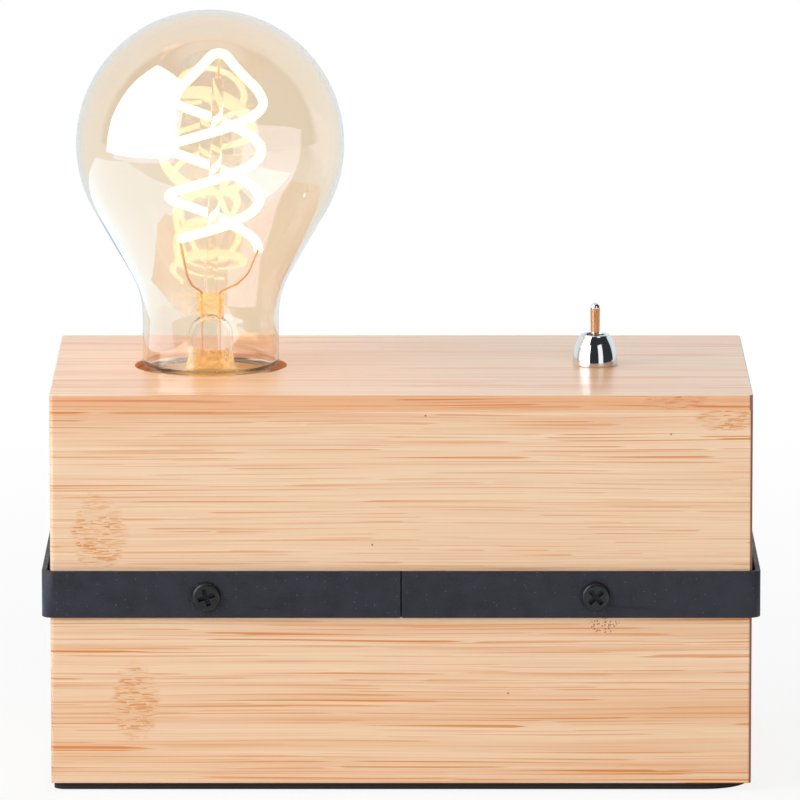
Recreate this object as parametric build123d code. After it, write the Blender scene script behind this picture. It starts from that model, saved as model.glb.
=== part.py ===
from build123d import *
import math
import os

# Case: bamboo boards standing on a soft pad
case_width = 155.0
case_depth = 87.0
wood_height = 87.0
wall_board = 8.0
lid_board = 3.4
edge_ease = 0.9
lid_ease = 0.15
bulb_hole_gap = 1.75
bushing_hole_gap = 0.15
pad_thick = 1.5
pad_inset = 0.6
pad_corner = 2.5
pad_trimmed_corner = 10.0
floor_board = 3.0
floor_fit = 0.2
corner_block = 12.0
corner_block_height = 16.0

# Places of the fittings
bulb_from_end = 34.8
switch_from_end = 34.0
strap_screw_from_end = 34.5
gland_offset = -16.0
gland_height = 17.0
connector_offset = 10.0
connector_lift = 1.0

# Strap around the case
strap_width = 10.4
strap_drop = 0.2
strap_thick = 1.2
strap_side_gap = 0.7
strap_seam = 0.3

# Screws and loose fits
screw_fit = 0.05
running_fit = 0.08
strap_screw_head = 6.3
strap_screw_head_height = 1.7
strap_screw_shank = 3.0
strap_screw_bite = 5.6
strap_screw_drop = 0.3
strap_screw_turns = (18.0, 42.0)
cross_span = 3.9
cross_width = 1.0
cross_depth = 1.0
floor_screw_head = 5.4
floor_screw_shank = 2.8
floor_screw_bite = 9.0
floor_screw_turn = 30.0
bracket_screw_head = 5.6
bracket_screw_head_height = 1.8
bracket_screw_shank = 2.9
bracket_screw_bite = 5.0
bracket_screw_turn = 25.0

# Bulb: glass envelope on a screw cap
globe_radius = 30.0
globe_lift = 20.0
shoulder_angle = 30.0
neck_radius = 15.3
neck_blend = 19.5
glass_wall = 0.8
rim_drop = 1.0
rim_turn = 2.4
rim_radius = 13.1
tuck_length = 4.4
tuck_radius = 12.4
cap_fit = 0.1
cap_length = 21.0
cap_skirt = 4.6
cap_wall = 0.55
thread_pitch = 3.629
thread_turns = 3.7
male_root = 12.15
male_crest = 13.2
male_half_width = 1.05
female_root = 13.5
female_crest = 12.45
female_half_width = 0.85
female_turns = 3.1
insulator_height = 2.5
insulator_plug = 1.5
insulator_tip_radius = 5.4
button_radius = 4.4
button_height = 1.5

# Bulb: mount, filament and wires
flare_height = 8.0
stem_radius = 5.0
stem_wall = 0.9
press_drop = 33.5
press_width = 6.0
press_thick = 2.8
press_height = 4.8
rod_radius = 1.3
hook_length = 4.4
filament_radius = 10.2
filament_wire = 2.0
foot_rise = 10.3
filament_pitch = 21.9
filament_turns = 1.5
apex_rise = 10.75
apex_slope = 50.0
apex_bend = 2.6
late_foot = 0.13
filament_lean = 2.2
lead_wire = 0.5
lead_spread = 2.0
lead_elbow_bend = 6.5
lead_press_bend = 0.9
lead_elbow_share = 0.74
lead_elbow_rise = 3.3

# Lamp holder on its bridge
holder_radius = 19.5
holder_gap = 0.5
holder_play = 0.7
holder_entry = 15.0
holder_chamber = 7.0
holder_floor = 3.0
shell_wall = 0.7
shell_top_drop = 6.4
insert_height = 6.5
insert_pocket = 5.0
insert_pocket_radius = 12.5
flange_inner = 11.8
contact_width = 5.0
contact_sheet = 0.5
contact_foot = 8.5
live_post_offset = 6.0
live_post_radius = 1.5
neutral_post_offset = 11.4
neutral_post_radius = 1.0
post_drop = 5.0
post_grip = 2.2
bridge_width = 22.0
bridge_sheet = 1.5
bridge_flange = 14.0
bridge_screw_spread = 12.0
nipple_radius = 5.0
nipple_bore = 3.6
nipple_rise = 1.0
nut_across = 14.0
nut_height = 4.0
nipple_tail = 1.5

# Toggle switch
dome_radius = 5.1
dome_curve_height = 8.7
dome_height = 7.0
dome_land = 1.5
dome_mouth = 2.4
dome_curve_steps = 8
bushing_radius = 3.0
bushing_bore = 2.4
washer_radius = 5.2
washer_thick = 0.6
washer_notches = 12
washer_notch_length = 1.2
washer_notch_width = 0.7
frame_sheet = 0.5
frame_cheek = 6.0
frame_slot = 3.2
body_width = 8.0
body_length = 13.2
body_height = 9.6
body_wall = 1.2
body_floor = 1.4
body_round = 0.4
pivot_rise = 2.0
pivot_pin_radius = 0.6
lever_throw = 12.0
lever_length = 12.7
lever_tip_radius = 1.12
lever_neck_radius = 0.9
tail_radius = 0.7
tail_length = 7.4
plunger_reach = 12.3
plunger_radius = 0.6
rocker_tilt = 10.0
rocker_dish = 17.0
rocker_sheet = 0.6
rocker_half_length = 4.4
rocker_width = 3.4
rocker_drop = 12.9
fulcrum_gap = 0.06
contact_gap = 0.06
terminal_width = 2.0
terminal_thick = 0.8
terminal_tail = 5.0
terminal_spacing = 3.9

# Inlet, connector and leads
gland_bore = 3.1
gland_radius = 4.6
gland_flange = 6.6
gland_flange_thick = 1.8
gland_nut_radius = 7.2
gland_nut_thick = 3.0
gland_nut_notches = 8
gland_nut_notch = 1.6
connector_width = 18.0
connector_depth = 12.0
connector_tall = 12.0
connector_pole = 8.5
connector_screw = 2.6
connector_screw_head = 4.6
connector_screw_sink = 2.0
connector_screw_sunk = 0.4
connector_screw_turn = 10.0
connector_outlet = 1.6
connector_round = 1.0
connector_grub = 2.8
grub_sunk = 1.2
grub_stop = 1.8
grub_slot = 0.5
grub_slot_depth = 0.8
lead_radius = 1.0
lead_fit = 0.1
lead_corner = 2.4
lead_sink = 4.0
lead_way_gap = 0.7
live_run_drop = 17.0
neutral_run_drop = 6.0
switched_run_drop = 10.5

# Levels that follow
wood_bottom = pad_thick
top_face = pad_thick + wood_height
wall_top = top_face - lid_board
wall_height = wall_top - wood_bottom
inner_width = case_width - 2 * wall_board
inner_depth = case_depth - 2 * wall_board
strap_mid = top_face / 2 - strap_drop
floor_top = wood_bottom + floor_board
globe_mid = top_face + globe_lift + globe_radius
rim_z = top_face - rim_drop
cap_bottom = rim_z - cap_length
button_top = cap_bottom - insulator_height
button_bottom = button_top - button_height
press_top = globe_mid - press_drop
filament_foot = press_top + foot_rise
filament_apex = filament_foot + filament_pitch * filament_turns + apex_rise
rod_top = filament_apex - filament_wire / 2 - hook_length
shell_low = cap_bottom - shell_wall - holder_play
insert_low = shell_low - insert_height
holder_floor_z = insert_low - holder_chamber - holder_floor
nut_low = holder_floor_z - bridge_sheet - nut_height
nipple_low = nut_low - nipple_tail
connector_low = floor_top + connector_lift
connector_mid = connector_low + connector_tall / 2
bulb_offset = case_width / 2 - bulb_from_end
switch_offset = case_width / 2 - switch_from_end
strap_screw_offset = case_width / 2 - strap_screw_from_end
at_bulb = Pos(-bulb_offset, 0, 0)
at_switch = Pos(switch_offset, 0, 0)
made = {}


def keep(name, shape):
    made[name] = shape
    export_step(shape, "parts/" + name + ".step")


def group(name, solids):
    keep(name, Compound(label=name, children=solids))


def block(size_x, size_y, size_z, x, y, z_low):
    return Pos(x, y, z_low + size_z / 2) * Box(size_x, size_y, size_z)


def post(radius, z_low, z_high):
    return Pos(0, 0, (z_low + z_high) / 2) * Cylinder(radius, z_high - z_low)


def ring(outer, inner, z_low, z_high):
    return post(outer, z_low, z_high) - post(inner, z_low - 1, z_high + 1)


def cone(low_radius, high_radius, z_low, z_high):
    return Pos(0, 0, (z_low + z_high) / 2) * Cone(low_radius, high_radius, z_high - z_low)


def turned(lines):
    return revolve(Plane.XZ * make_face(lines), Axis.Z)


def hexagon(across, bore, z_low, z_high):
    nut = Pos(0, 0, z_low) * extrude(RegularPolygon(across / math.sqrt(3), 6), z_high - z_low)
    return nut - post(bore, z_low - 1, z_high + 1)


def cross_recess(top_z, turn):
    arm = block(cross_span, cross_width, cross_depth * 2, 0, 0, top_z - cross_depth)
    return Rot(0, 0, turn) * (arm + Rot(0, 0, 90) * arm)


def pan_screw(head_radius, head_height, shank_radius, bite, turn):
    head = post(head_radius, 0, head_height)
    head = fillet(head.edges().group_by(Axis.Z)[-1], head_height * 0.4)
    shank = post(shank_radius, -bite + shank_radius, 0)
    tip = cone(shank_radius * 0.2, shank_radius, -bite, -bite + shank_radius)
    return head + shank + tip - cross_recess(head_height, turn)


def pilot(shank_radius, bite):
    return post(shank_radius + screw_fit, -bite - 0.4, 1)


def thread(root, crest, half_width, z_low, turns):
    foot = root - math.copysign(0.3, crest - root)
    outline = [
        ThreePointArc((foot, -half_width), (crest, 0), (foot, half_width)),
        Line((foot, half_width), (foot, -half_width)),
    ]
    profile = Plane.XZ * make_face(outline)
    path = Helix(thread_pitch, turns * thread_pitch, root)
    return Pos(0, 0, z_low) * sweep(profile, path=path, is_frenet=True)


def biarc(start, start_way, end, end_way):
    reach = end - start
    ways = start_way + end_way
    along = reach.dot(ways)
    bend = 2 * (1 - start_way.dot(end_way))
    span = (-along + math.sqrt(along**2 + bend * reach.dot(reach))) / bend
    middle = (start + end + (start_way - end_way) * span) * 0.5
    first = Edge.make_tangent_arc(start, start_way, middle)
    second = Edge.make_tangent_arc(middle, first % 1, end)
    return [first, second]


def lead(points):
    path = FilletPolyline(*points, radius=lead_corner)
    profile = Plane(origin=path @ 0, z_dir=path % 0) * Circle(lead_radius)
    return sweep(profile, path=path)


os.makedirs("parts", exist_ok=True)

# Ways of the screws: each frame has its Z out of the wood
strap_screw_frames = [
    Plane(
        origin=(
            side * strap_screw_offset,
            -case_depth / 2 - strap_thick,
            strap_mid - strap_screw_drop,
        ),
        x_dir=(1, 0, 0),
        z_dir=(0, -1, 0),
    )
    for side in (-1, 1)
]
bridge_screw_z = holder_floor_z - bridge_sheet - bridge_flange * 0.55
bridge_screw_frames = [
    Plane(
        origin=(
            -bulb_offset + side * bridge_screw_spread / 2,
            face * (inner_depth / 2 - bridge_sheet),
            bridge_screw_z,
        ),
        x_dir=(1, 0, 0),
        z_dir=(0, -face, 0),
    )
    for face in (-1, 1)
    for side in (-1, 1)
]
corners = [
    (
        side_x * (inner_width - corner_block) / 2,
        side_y * (inner_depth - corner_block) / 2,
    )
    for side_x in (-1, 1)
    for side_y in (-1, 1)
]
connector_back = inner_depth / 2
connector_frame = Plane(
    origin=(connector_offset, connector_back - connector_depth, connector_mid),
    x_dir=(1, 0, 0),
    z_dir=(0, -1, 0),
)
gland_frame = Plane(
    origin=(gland_offset, case_depth / 2, gland_height), x_dir=(1, 0, 0), z_dir=(0, 1, 0)
)

# Case boards: front and back run the full width, the sides stand between them
lid = block(case_width, case_depth, lid_board, 0, 0, wall_top)
lid = fillet(lid.edges().filter_by(Axis.Z), edge_ease)
lid -= at_bulb * post(neck_radius + bulb_hole_gap, wall_top - 1, top_face + 1)
lid -= at_switch * post(bushing_radius + bushing_hole_gap, wall_top - 1, top_face + 1)
lid = chamfer(lid.edges().group_by(Axis.Z)[-1], lid_ease)
keep("top_board", lid)

front = block(
    case_width, wall_board, wall_height, 0, (wall_board - case_depth) / 2, wood_bottom
)
front = fillet(front.edges().filter_by(Axis.Z).group_by(Axis.Y)[0], edge_ease)
back = block(
    case_width, wall_board, wall_height, 0, (case_depth - wall_board) / 2, wood_bottom
)
back = fillet(back.edges().filter_by(Axis.Z).group_by(Axis.Y)[-1], edge_ease)
for frame in strap_screw_frames:
    front -= frame * pilot(strap_screw_shank / 2, strap_screw_bite + strap_thick)
for frame in bridge_screw_frames[:2]:
    front -= frame * pilot(bracket_screw_shank / 2, bracket_screw_bite + bridge_sheet)
for frame in bridge_screw_frames[2:]:
    back -= frame * pilot(bracket_screw_shank / 2, bracket_screw_bite + bridge_sheet)
back -= gland_frame * post(gland_radius + screw_fit, -wall_board - 1, 1)
back -= connector_frame * pilot(connector_screw / 2, connector_depth + wall_board * 0.6)
keep("front_board", front)
keep("back_board", back)
for name, side in (("left_board", -1), ("right_board", 1)):
    board = block(
        wall_board,
        inner_depth,
        wall_height,
        side * (case_width - wall_board) / 2,
        0,
        wood_bottom,
    )
    keep(name, board)

# Floor: corner blocks glued to the walls, an inset board screwed up into them, a soft pad
blocks = []
floor_screws = []
floor = block(
    inner_width - 2 * floor_fit, inner_depth - 2 * floor_fit, floor_board, 0, 0, wood_bottom
)
head_depth = floor_screw_head / 2 - floor_screw_shank / 2
for x, y in corners:
    glued = block(corner_block, corner_block, corner_block_height, x, y, floor_top)
    hole = post(floor_screw_shank / 2 + screw_fit, 0, floor_screw_bite + floor_board + 0.4)
    sink = cone(
        floor_screw_head / 2 + screw_fit, floor_screw_shank / 2 + screw_fit, 0, head_depth
    )
    here = Pos(x, y, wood_bottom)
    blocks.append(glued - here * hole)
    floor -= here * (hole + sink)
    screw = cone(floor_screw_head / 2, floor_screw_shank / 2, 0, head_depth)
    screw += post(floor_screw_shank / 2, head_depth, floor_screw_bite + floor_board)
    screw -= Rot(180, 0, 0) * cross_recess(0, floor_screw_turn)
    floor_screws.append(here * screw)
group("corner_blocks", blocks)
keep("floor_board", floor)
group("floor_screws", floor_screws)

pad = block(
    case_width - 2 * pad_inset, case_depth - 2 * pad_inset, pad_thick, 0, 0, 0
)
uprights = pad.edges().filter_by(Axis.Z).sort_by(lambda edge: edge.center().X - edge.center().Y)
pad = fillet(uprights[:-1], pad_corner)
pad = fillet(
    pad.edges().filter_by(Axis.Z).sort_by(lambda edge: edge.center().X - edge.center().Y)[-1],
    pad_trimmed_corner,
)
keep("foot_pad", pad)

# Strap: one band bent round the case, its ends meeting at the middle of the front
strap_bend = strap_side_gap + edge_ease
loop_width = case_width + 2 * strap_side_gap
outer_loop = RectangleRounded(
    loop_width + 2 * strap_thick, case_depth + 2 * strap_thick, strap_bend + strap_thick
)
inner_loop = RectangleRounded(loop_width, case_depth, strap_bend)
strap_low = strap_mid - strap_width / 2
strap = Pos(0, 0, strap_low) * extrude(outer_loop - inner_loop, strap_width)
strap -= block(strap_seam, 4 * strap_thick, strap_width + 2, 0, -case_depth / 2, strap_low - 1)
for frame in strap_screw_frames:
    strap -= frame * post(strap_screw_shank / 2 + 4 * screw_fit, -2 * strap_thick, strap_thick)
keep("strap", strap)
strap_screws = [
    frame
    * pan_screw(
        strap_screw_head / 2,
        strap_screw_head_height,
        strap_screw_shank / 2,
        strap_screw_bite + strap_thick,
        turn,
    )
    for frame, turn in zip(strap_screw_frames, strap_screw_turns)
]
group("strap_screws", strap_screws)


# Bulb glass: globe, shoulder cone, concave blend, neck, and the tuck inside the cap
def glass_outline(inset):
    radius = globe_radius - inset
    blend = neck_blend + inset
    neck = neck_radius - inset
    slope = math.radians(shoulder_angle)
    touch = (radius * math.cos(slope), globe_mid - radius * math.sin(slope))
    blend_r = neck + blend * (1 - math.cos(slope))
    blend_top = touch[1] - (touch[0] - blend_r) / math.tan(slope)
    blend_low = blend_top - blend * math.sin(slope)
    blend_mid = (
        neck + blend * (1 - math.cos(slope / 2)),
        blend_low + blend * math.sin(slope / 2),
    )
    half = math.pi / 4 - slope / 2
    globe_point = (radius * math.cos(half), globe_mid + radius * math.sin(half))
    turn_in = rim_z + (rim_turn + inset) * 0.8
    return [
        ThreePointArc((0, globe_mid + radius), globe_point, touch),
        Line(touch, (blend_r, blend_top)),
        ThreePointArc((blend_r, blend_top), blend_mid, (neck, blend_low)),
        Line((neck, blend_low), (neck, turn_in)),
    ], (neck, turn_in)


outside, outside_end = glass_outline(0)
inside, inside_end = glass_outline(glass_wall)
tuck_inner = tuck_radius - glass_wall
tuck_z = rim_z - tuck_length
outside.append(RadiusArc(outside_end, (rim_radius, rim_z), -rim_turn))
outside.append(Polyline((rim_radius, rim_z), (tuck_radius, rim_z), (tuck_radius, tuck_z), (0, tuck_z)))
inside.append(RadiusArc(inside_end, (tuck_inner, rim_z), -rim_turn))
inside.append(Polyline((tuck_inner, rim_z), (tuck_inner, tuck_z - 1), (0, tuck_z - 1)))
outside.append(Line((0, tuck_z), (0, globe_mid + globe_radius)))
inside.append(Line((0, tuck_z - 1), (0, globe_mid + globe_radius - glass_wall)))
keep("bulb_glass", at_bulb * (turned(outside) - turned(inside)))

# Bulb mount: flared stem tube, flat press and a leaning rod
lean = Pos(0, 0, press_top) * Rot(0, filament_lean, 0) * Pos(0, 0, -press_top)
flare_top = tuck_z + flare_height
flare_radius = tuck_inner - cap_fit
head_foot = press_top - press_height - stem_radius
head_slant = stem_radius * math.sqrt(0.5)
hollow = stem_radius - stem_wall
hollow_slant = hollow * math.sqrt(0.5)
stem_lines = [
    Line((stem_radius, flare_top), (stem_radius, head_foot)),
    ThreePointArc(
        (stem_radius, head_foot),
        (head_slant, head_foot + head_slant),
        (0, head_foot + stem_radius),
    ),
    Line((0, head_foot + stem_radius), (0, head_foot + hollow)),
    ThreePointArc(
        (0, head_foot + hollow),
        (hollow_slant, head_foot + hollow_slant),
        (hollow, head_foot),
    ),
    Line((hollow, head_foot), (hollow, flare_top)),
    ThreePointArc(
        (hollow, flare_top),
        (stem_radius + 0.7, tuck_z + 2.6),
        (flare_radius - 1.2, tuck_z),
    ),
    Line((flare_radius - 1.2, tuck_z), (flare_radius, tuck_z)),
    ThreePointArc((flare_radius, tuck_z), (stem_radius + 1.6, tuck_z + 3.4), (stem_radius, flare_top)),
]
stem = turned(stem_lines)
press_low = press_top - press_height - 1.0
press = block(press_width, press_thick, press_top - press_low, 0, 0, press_low)
stem += fillet(press.edges().filter_by(Axis.Z), press_thick * 0.4)
stem += lean * post(rod_radius, press_top - 0.5, rod_top)
for side in (-1, 1):
    stem -= Pos(side * lead_spread, 0, 0) * post(
        lead_wire / 2 + screw_fit, press_top - 2 * press_height, press_top + 1
    )
keep("bulb_stem", at_bulb * stem)


# Filament: one unbroken tube, a strand winding up each side and meeting over the top
def helix_point(turn):
    angle = 2 * math.pi * turn
    return Vector(
        filament_radius * math.cos(angle),
        filament_radius * math.sin(angle),
        filament_foot + filament_pitch * turn,
    )


def helix_way(turn):
    angle = 2 * math.pi * turn
    run = 2 * math.pi * filament_radius
    return Vector(-run * math.sin(angle), run * math.cos(angle), filament_pitch).normalized()


def strand(first_turn):
    stops = [first_turn] + [step / 4 for step in range(1, round(filament_turns * 4) + 1)]
    edges = []
    for low, high in zip(stops, stops[1:]):
        edges += biarc(helix_point(low), helix_way(low), helix_point(high), helix_way(high))
    outward = 2 * math.pi * filament_turns
    inward = Vector(-math.cos(outward), -math.sin(outward), 0)
    rise = math.radians(apex_slope)
    climb = inward * math.cos(rise) + Vector(0, 0, math.sin(rise))
    half_top = apex_bend * math.sin(rise)
    shoulder = apex - inward * half_top - Vector(0, 0, apex_bend * (1 - math.cos(rise)))
    edges += biarc(helix_point(stops[-1]), helix_way(stops[-1]), shoulder, climb)
    return edges + [Edge.make_tangent_arc(shoulder, climb, apex)]


apex = Vector(0, 0, filament_apex)
rising = strand(0.0)
falling = [Rot(0, 0, 180) * edge for edge in strand(late_foot)]
filament_path = lean * Wire(rising + falling)
foot_edge = lean * rising[0]
foot_profile = Plane(origin=foot_edge @ 0, z_dir=foot_edge % 0) * Circle(filament_wire / 2)
filament = sweep(foot_profile, path=filament_path)
keep("bulb_filament", at_bulb * filament)

points = [edge @ (step / 12) for edge in rising for step in range(12)]
points += [edge @ (1 - step / 12) for edge in reversed(falling) for step in range(12)]
apart = 3 * filament_wire
walked = [0.0]
for near, far in zip(points, points[1:]):
    walked.append(walked[-1] + (far - near).length)
self_gap = min(
    (points[i] - points[j]).length - filament_wire
    for i in range(len(points))
    for j in range(i)
    if walked[i] - walked[j] > apart
)
print("filament least gap to itself", round(self_gap, 2), "mm")

# Wires: two leads from the filament's feet down through the press, and a hook over the rod
leads = []
for strand_edges in (rising, falling):
    foot = lean * strand_edges[0]
    end = (foot @ 0) - (foot % 0) * (lead_wire / 2 + screw_fit)
    side = math.copysign(lead_spread, end.X)
    wire_path = FilletPolyline(
        (end.X, end.Y, end.Z),
        (end.X * lead_elbow_share, end.Y * lead_elbow_share, press_top + lead_elbow_rise),
        (side, 0, press_top + lead_wire),
        (side, 0, cap_bottom + insulator_plug),
        radius=[lead_elbow_bend, lead_press_bend],
    )
    wire_face = Plane(origin=wire_path @ 0, z_dir=wire_path % 0) * Circle(lead_wire / 2)
    leads.append(at_bulb * sweep(wire_face, path=wire_path))
group("bulb_leads", leads)
hook = at_bulb * lean * post(lead_wire / 2, rod_top, filament_apex - filament_wire / 2)
keep("bulb_hook", hook)

# Screw cap, black insulator and contact button
male_low = cap_bottom + male_half_width + 0.4
cap_solid = post(male_root, cap_bottom, rim_z - cap_skirt)
cap_solid += ring(rim_radius, tuck_radius + cap_fit, rim_z - cap_skirt, rim_z)
cap_solid += post(rim_radius, rim_z - cap_skirt - cap_wall, rim_z - cap_skirt)
cap_solid += thread(male_root, male_crest, male_half_width, male_low, thread_turns)
cap_solid -= post(male_root - cap_wall, cap_bottom - 1, rim_z - cap_skirt + 1)
keep("bulb_cap", at_bulb * cap_solid)
insulator = cone(insulator_tip_radius, male_root - cap_wall - cap_fit, button_top, cap_bottom)
insulator += post(male_root - cap_wall - cap_fit, cap_bottom, cap_bottom + insulator_plug)
keep("bulb_insulator", at_bulb * insulator)
button = post(button_radius, button_bottom, button_top)
button = fillet(button.edges().group_by(Axis.Z)[0], button_height * 0.6)
keep("bulb_button", at_bulb * button)

# Lamp holder: moulded body, ceramic insert, threaded shell, contacts
holder_top = wall_top - holder_gap
shell_outer = female_root + shell_wall
shell_top = top_face - shell_top_drop
pocket_floor = shell_low - insert_pocket
body = post(holder_radius, holder_floor_z, holder_top)
body = fillet(body.edges().group_by(Axis.Z)[0], 1.5)
body = chamfer(body.edges().group_by(Axis.Z)[-1], 1.0)
body -= post(shell_outer + screw_fit, insert_low, holder_top)
body -= post(shell_outer - 1.6, holder_floor_z + holder_floor, insert_low + 1)
body -= post(holder_entry, shell_top, holder_top + 1)
body -= post(nipple_radius + screw_fit, holder_floor_z - 1, holder_floor_z + holder_floor + 1)
keep("holder_body", at_bulb * body)

insert = post(shell_outer, insert_low, shell_low)
insert -= post(insert_pocket_radius, pocket_floor, shell_low + 1)
insert -= Pos(-live_post_offset, 0, 0) * post(live_post_radius + screw_fit, insert_low - 1, pocket_floor + 1)
insert -= Pos(neutral_post_offset, 0, 0) * post(
    neutral_post_radius + screw_fit, insert_low - 1, shell_low + 1
)
keep("holder_insert", at_bulb * insert)

female_low = male_low + thread_pitch / 2
shell = ring(shell_outer, female_root, shell_low, shell_top)
shell += ring(shell_outer, flange_inner, shell_low, shell_low + shell_wall)
shell += thread(female_root, female_crest, female_half_width, female_low, female_turns)
keep("holder_shell", at_bulb * shell)

tongue_top = button_bottom - contact_gap - contact_sheet / 2
tongue_low = pocket_floor + contact_sheet / 2
tongue_path = Polyline(
    (-contact_foot, 0, tongue_low),
    (-contact_foot + 5.0, 0, tongue_low),
    (-1.0, 0, tongue_top),
    (3.0, 0, tongue_top),
)
tongue_face = Plane(origin=tongue_path @ 0, z_dir=tongue_path % 0) * Rectangle(contact_sheet, contact_width)
tongue = sweep(tongue_face, path=tongue_path, transition=Transition.RIGHT)
keep("holder_contact", at_bulb * tongue)

post_low = insert_low - post_drop
live_post = Pos(-live_post_offset, 0, 0) * post(live_post_radius, post_low, pocket_floor)
neutral_post = Pos(neutral_post_offset, 0, 0) * post(neutral_post_radius, post_low, shell_low)
group("holder_posts", [at_bulb * live_post, at_bulb * neutral_post])

# Bridge between the front and back walls, holding the holder by its hollow nipple
bridge_top = holder_floor_z
bridge = block(bridge_width, inner_depth, bridge_sheet, 0, 0, bridge_top - bridge_sheet)
for face in (-1, 1):
    bridge += block(
        bridge_width,
        bridge_sheet,
        bridge_flange,
        0,
        face * (inner_depth - bridge_sheet) / 2,
        bridge_top - bridge_flange,
    )
bridge -= post(nipple_radius + screw_fit, bridge_top - 5, bridge_top + 5)
bridge = at_bulb * bridge
for frame in bridge_screw_frames:
    bridge -= frame * post(bracket_screw_shank / 2 + 2 * screw_fit, -2 * bridge_sheet, bridge_sheet)
keep("holder_bridge", bridge)
bridge_screws = [
    frame
    * pan_screw(
        bracket_screw_head / 2,
        bracket_screw_head_height,
        bracket_screw_shank / 2,
        bracket_screw_bite + bridge_sheet,
        bracket_screw_turn,
    )
    for frame in bridge_screw_frames
]
group("bridge_screws", bridge_screws)
nipple = ring(
    nipple_radius, nipple_bore, nipple_low, holder_floor_z + holder_floor + nipple_rise
)
keep("holder_nipple", at_bulb * nipple)
keep("nipple_nut", at_bulb * hexagon(nut_across, nipple_radius + screw_fit, nut_low, nut_low + nut_height))

# Toggle switch: dome nut and bushing above the lid, frame and body below it
curve = [
    (
        dome_radius * math.sqrt(1 - (dome_height * step / dome_curve_steps / dome_curve_height) ** 2),
        dome_height * step / dome_curve_steps,
    )
    for step in range(dome_curve_steps + 1)
]
crown_way = (curve[-1][0] - curve[-2][0], curve[-1][1] - curve[-2][1])
dome_lines = [
    Spline(*curve, tangents=[(0, 1), crown_way]),
    Polyline(curve[-1], (0, dome_height), (0, 0), (dome_radius, 0)),
]
dome = Pos(0, 0, top_face) * turned(dome_lines)
dome -= post(bushing_radius + screw_fit, top_face - 1, top_face + dome_height - dome_land)
dome -= post(dome_mouth, top_face, top_face + dome_height + 1)
keep("switch_dome", at_switch * dome)

frame_top = wall_top - washer_thick
pivot_z = top_face + pivot_rise
bushing = ring(bushing_radius, bushing_bore, frame_top, top_face + dome_height - dome_land - 0.1)
pin_way = Pos(0, 0, pivot_z) * Rot(0, 90, 0)
bushing -= pin_way * Cylinder(pivot_pin_radius + screw_fit / 2, 4 * bushing_radius)
keep("switch_bushing", at_switch * bushing)
keep("switch_pin", at_switch * pin_way * Cylinder(pivot_pin_radius, 2 * bushing_radius - 0.1))

washer = ring(washer_radius, bushing_radius + screw_fit, frame_top, wall_top)
notch = block(
    washer_notch_length, washer_notch_width, washer_thick * 3, washer_radius, 0, frame_top - washer_thick
)
for step in range(washer_notches):
    washer -= Rot(0, 0, step * 360 / washer_notches) * notch
keep("switch_washer", at_switch * washer)

body_top = frame_top - frame_sheet
body_low = body_top - body_height
cradle = block(body_width + 2 * frame_sheet, body_length, frame_sheet, 0, 0, body_top)
for side in (-1, 1):
    cradle += block(
        frame_sheet,
        body_length,
        frame_cheek,
        side * (body_width + frame_sheet) / 2,
        0,
        body_top - frame_cheek,
    )
cradle -= block(2 * bushing_bore, 2 * frame_slot, 4 * frame_sheet, 0, 0, body_top - frame_sheet)
keep("switch_frame", at_switch * cradle)

cavity_floor = body_low + body_floor
housing = block(body_width, body_length, body_height, 0, 0, body_low)
housing = fillet(housing.edges().group_by(Axis.Z)[0], body_round)
housing -= block(
    body_width - 2 * body_wall, body_length - 2 * body_wall, body_height, 0, 0, cavity_floor
)
rocker_z = pivot_z - rocker_drop
rocker_low = rocker_z - rocker_sheet / 2
fulcrum_top = rocker_low - fulcrum_gap
tilt = math.radians(rocker_tilt - rocker_dish)
end_drop = rocker_half_length * math.sin(tilt) + rocker_sheet / 2 * math.cos(tilt)
blades = []
for y, high in ((0, fulcrum_top), (terminal_spacing, rocker_z - end_drop - contact_gap - 0.2)):
    blade = block(
        terminal_width, terminal_thick, high - body_low + terminal_tail, 0, y, body_low - terminal_tail
    )
    slot = block(
        terminal_width + 2 * screw_fit, terminal_thick + 2 * screw_fit, body_height, 0, y, body_low - 1
    )
    housing -= slot
    blades.append(at_switch * blade)
keep("switch_body", at_switch * housing)
group("switch_terminals", blades)

# Lever thrown to the front: ball in the bushing, tapered stick above, tail and plunger below
ball_radius = bushing_bore - running_fit
stick = cone(lever_neck_radius, lever_tip_radius, 0, lever_length - lever_tip_radius)
stick += Pos(0, 0, lever_length - lever_tip_radius) * Sphere(lever_tip_radius)
stick += Sphere(ball_radius)
stick += post(tail_radius, -tail_length, 0)
stick -= Rot(0, 90, 0) * Cylinder(pivot_pin_radius + running_fit / 2, 4 * ball_radius)
thrown = at_switch * Pos(0, 0, pivot_z) * Rot(lever_throw, 0, 0)
keep("switch_lever", thrown * stick)
plunger = post(plunger_radius, -plunger_reach + plunger_radius, -tail_length)
plunger += Pos(0, 0, -plunger_reach + plunger_radius) * Sphere(plunger_radius)
keep("switch_plunger", thrown * plunger)

# Rocker: a shallow dished see-saw on the middle terminal
dish = math.radians(rocker_dish)
wing_y = rocker_half_length * math.cos(dish)
wing_z = rocker_half_length * math.sin(dish)
rocker_path = Polyline((0, -wing_y, wing_z), (0, 0, 0), (0, wing_y, wing_z))
rocker_face = Plane(origin=rocker_path @ 0, x_dir=(1, 0, 0), z_dir=rocker_path % 0) * Rectangle(
    rocker_width, rocker_sheet
)
rocker = sweep(rocker_face, path=rocker_path, transition=Transition.RIGHT)
keep("switch_rocker", at_switch * Pos(0, 0, rocker_z) * Rot(-rocker_tilt, 0, 0) * rocker)

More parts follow.
